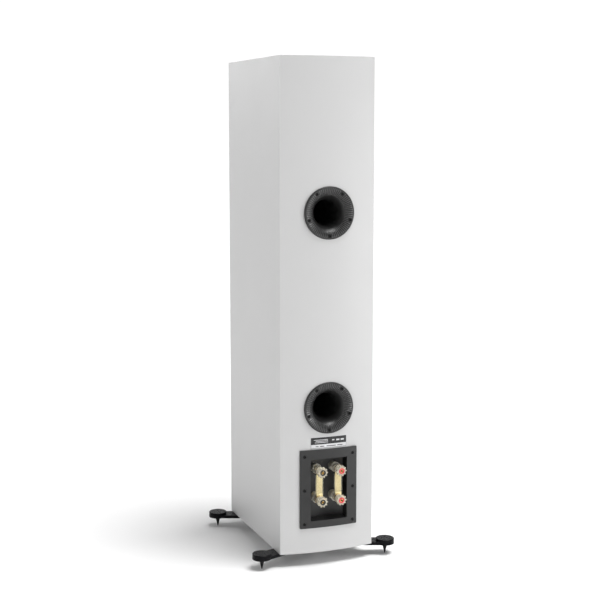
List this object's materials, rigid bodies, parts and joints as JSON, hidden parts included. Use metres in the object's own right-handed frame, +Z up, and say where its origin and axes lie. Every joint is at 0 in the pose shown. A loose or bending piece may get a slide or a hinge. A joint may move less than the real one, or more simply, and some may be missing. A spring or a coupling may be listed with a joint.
{
  "type": "floorstanding speaker",
  "caption": "Tall narrow floorstanding loudspeaker, white cabinet with curved back, flared rear ports, recessed wire terminals and splayed outrigger feet on spikes.",
  "frame": {"origin": "on the floor at the middle of the whole object's outline", "axes": "+Z up, +X to the speaker's right side as seen from the front, front faces -Y, terminals face +Y"},
  "size_m": [0.3094, 0.359, 1.0177],
  "materials": {
    "white_lacquer": "white satin lacquer on board",
    "raw_board": "unfinished board",
    "black_plastic": "fine moulded texture",
    "tube_plastic": "matt",
    "black_screw": "black oxide",
    "label_film": "printed film",
    "gold_plate": "polished gold plate",
    "strap_gold": "pale gold plate",
    "nut_steel": "zinc plated",
    "clear_plastic": "clear polished",
    "red_plastic": "gloss red",
    "ring_black": "gloss black",
    "foot_black": "gloss black powder coat",
    "spike_steel": "black plated steel",
    "basket_black": "satin black",
    "magnet_grey": "phosphated",
    "cone_grey": "anodised grey",
    "rubber_black": "matt rubber",
    "dome_metal": "anodised",
    "board_green": "solder mask",
    "component_mix": "enamelled wire and film",
    "lead_black": "insulation"
  },
  "bodies": {
    "cabinet": {"side_panel_left": "white_lacquer", "side_panel_right": "white_lacquer", "top_panel": "white_lacquer", "bottom_panel": "white_lacquer", "front_baffle": "white_lacquer", "rear_panel": "white_lacquer", "chamber_divider": "raw_board", "window_braces": "raw_board", "upper_port_flare": "black_plastic", "upper_port_tube": "tube_plastic", "upper_woofer_basket": "basket_black", "upper_woofer_surround": "rubber_black", "lower_port_flare": "black_plastic", "lower_port_tube": "tube_plastic", "lower_woofer_basket": "basket_black", "lower_woofer_surround": "rubber_black", "rear_screws": "black_screw", "terminal_cup": "black_plastic", "rating_label": "label_film", "binding_post_stems": "gold_plate", "binding_post_collars": "clear_plastic", "binding_post_nuts": "nut_steel", "jumper_strap_left": "strap_gold", "jumper_strap_right": "strap_gold", "outrigger_screws": "black_screw", "woofer_motors": "magnet_grey", "driver_screws": "black_screw", "tweeter_faceplate": "black_plastic", "tweeter_motor": "magnet_grey", "crossover_board": "board_green", "crossover_components": "component_mix", "internal_leads": "lead_black", "outrigger_front_left": "foot_black", "outrigger_front_right": "foot_black", "outrigger_rear_left": "foot_black", "outrigger_rear_right": "foot_black"},
    "wheel_front_left": {"levelling_wheel_front_left": "foot_black"},
    "spike_front_left": {"spike_front_left": "spike_steel"},
    "wheel_front_right": {"levelling_wheel_front_right": "foot_black"},
    "spike_front_right": {"spike_front_right": "spike_steel"},
    "wheel_rear_left": {"levelling_wheel_rear_left": "foot_black"},
    "spike_rear_left": {"spike_rear_left": "spike_steel"},
    "wheel_rear_right": {"levelling_wheel_rear_right": "foot_black"},
    "spike_rear_right": {"spike_rear_right": "spike_steel"},
    "clamp_upper_left": {"clamp_sleeve_upper_left": "gold_plate"},
    "cap_upper_left": {"post_cap_upper_left": "clear_plastic", "cap_ring_upper_left": "red_plastic"},
    "clamp_upper_right": {"clamp_sleeve_upper_right": "gold_plate"},
    "cap_upper_right": {"post_cap_upper_right": "clear_plastic", "cap_ring_upper_right": "ring_black"},
    "clamp_lower_left": {"clamp_sleeve_lower_left": "gold_plate"},
    "cap_lower_left": {"post_cap_lower_left": "clear_plastic", "cap_ring_lower_left": "red_plastic"},
    "clamp_lower_right": {"clamp_sleeve_lower_right": "gold_plate"},
    "cap_lower_right": {"post_cap_lower_right": "clear_plastic", "cap_ring_lower_right": "ring_black"},
    "upper_cone": {"upper_woofer_cone": "cone_grey"},
    "lower_cone": {"lower_woofer_cone": "cone_grey"},
    "dome": {"tweeter_dome": "dome_metal"}
  },
  "joints": [
    {"name": "wheel_turn_front_left", "type": "hinge", "parent": "cabinet", "child": "wheel_front_left", "pos_m": [-0.1355, -0.1603, 0.0277], "axis": [0, 0, 1], "range_deg": [0, 1728]},
    {"name": "spike_slide_front_left", "type": "slide", "parent": "cabinet", "child": "spike_front_left", "axis": [0, 0, 1], "range_m": [-0.006, 0]},
    {"name": "wheel_turn_front_right", "type": "hinge", "parent": "cabinet", "child": "wheel_front_right", "pos_m": [0.1355, -0.1603, 0.0277], "axis": [0, 0, 1], "range_deg": [0, 1728]},
    {"name": "spike_slide_front_right", "type": "slide", "parent": "cabinet", "child": "spike_front_right", "axis": [0, 0, 1], "range_m": [-0.006, 0]},
    {"name": "wheel_turn_rear_left", "type": "hinge", "parent": "cabinet", "child": "wheel_rear_left", "pos_m": [-0.1355, 0.1369, 0.0277], "axis": [0, 0, 1], "range_deg": [0, 1728]},
    {"name": "spike_slide_rear_left", "type": "slide", "parent": "cabinet", "child": "spike_rear_left", "axis": [0, 0, 1], "range_m": [-0.006, 0]},
    {"name": "wheel_turn_rear_right", "type": "hinge", "parent": "cabinet", "child": "wheel_rear_right", "pos_m": [0.1355, 0.1369, 0.0277], "axis": [0, 0, 1], "range_deg": [0, 1728]},
    {"name": "spike_slide_rear_right", "type": "slide", "parent": "cabinet", "child": "spike_rear_right", "axis": [0, 0, 1], "range_m": [-0.006, 0]},
    {"name": "clamp_slide_upper_left", "type": "slide", "parent": "cabinet", "child": "clamp_upper_left", "axis": [0, 1, 0], "range_m": [0, 0.005]},
    {"name": "cap_turn_upper_left", "type": "hinge", "parent": "clamp_upper_left", "child": "cap_upper_left", "pos_m": [-0.0203, 0.17, 0.1966], "axis": [0, 1, 0], "range_deg": [0, 1800]},
    {"name": "clamp_slide_upper_right", "type": "slide", "parent": "cabinet", "child": "clamp_upper_right", "axis": [0, 1, 0], "range_m": [0, 0.005]},
    {"name": "cap_turn_upper_right", "type": "hinge", "parent": "clamp_upper_right", "child": "cap_upper_right", "pos_m": [0.0203, 0.17, 0.1966], "axis": [0, 1, 0], "range_deg": [0, 1800]},
    {"name": "clamp_slide_lower_left", "type": "slide", "parent": "cabinet", "child": "clamp_lower_left", "axis": [0, 1, 0], "range_m": [0, 0.005]},
    {"name": "cap_turn_lower_left", "type": "hinge", "parent": "clamp_lower_left", "child": "cap_lower_left", "pos_m": [-0.0203, 0.17, 0.1363], "axis": [0, 1, 0], "range_deg": [0, 1800]},
    {"name": "clamp_slide_lower_right", "type": "slide", "parent": "cabinet", "child": "clamp_lower_right", "axis": [0, 1, 0], "range_m": [0, 0.005]},
    {"name": "cap_turn_lower_right", "type": "hinge", "parent": "clamp_lower_right", "child": "cap_lower_right", "pos_m": [0.0203, 0.17, 0.1363], "axis": [0, 1, 0], "range_deg": [0, 1800]},
    {"name": "upper_cone_slide", "type": "slide", "parent": "cabinet", "child": "upper_cone", "axis": [0, -1, 0], "range_m": [-0.004, 0.004], "stiffness_N_per_m": 1000, "deforming": ["upper_woofer_surround"]},
    {"name": "lower_cone_slide", "type": "slide", "parent": "cabinet", "child": "lower_cone", "axis": [0, -1, 0], "range_m": [-0.004, 0.004], "stiffness_N_per_m": 1000, "deforming": ["lower_woofer_surround"]},
    {"name": "dome_slide", "type": "slide", "parent": "cabinet", "child": "dome", "axis": [0, -1, 0], "range_m": [-0.0003, 0.0003], "stiffness_N_per_m": 800}
  ],
  "couplings": [
    {"joint": "spike_slide_front_left", "follows": "wheel_turn_front_left", "m_per_rad": -0.00019894},
    {"joint": "spike_slide_front_right", "follows": "wheel_turn_front_right", "m_per_rad": -0.00019894},
    {"joint": "spike_slide_rear_left", "follows": "wheel_turn_rear_left", "m_per_rad": -0.00019894},
    {"joint": "spike_slide_rear_right", "follows": "wheel_turn_rear_right", "m_per_rad": -0.00019894},
    {"joint": "cap_turn_upper_left", "follows": "clamp_slide_upper_left", "rad_per_m": 6283.2},
    {"joint": "cap_turn_upper_right", "follows": "clamp_slide_upper_right", "rad_per_m": 6283.2},
    {"joint": "cap_turn_lower_left", "follows": "clamp_slide_lower_left", "rad_per_m": 6283.2},
    {"joint": "cap_turn_lower_right", "follows": "clamp_slide_lower_right", "rad_per_m": 6283.2}
  ]
}
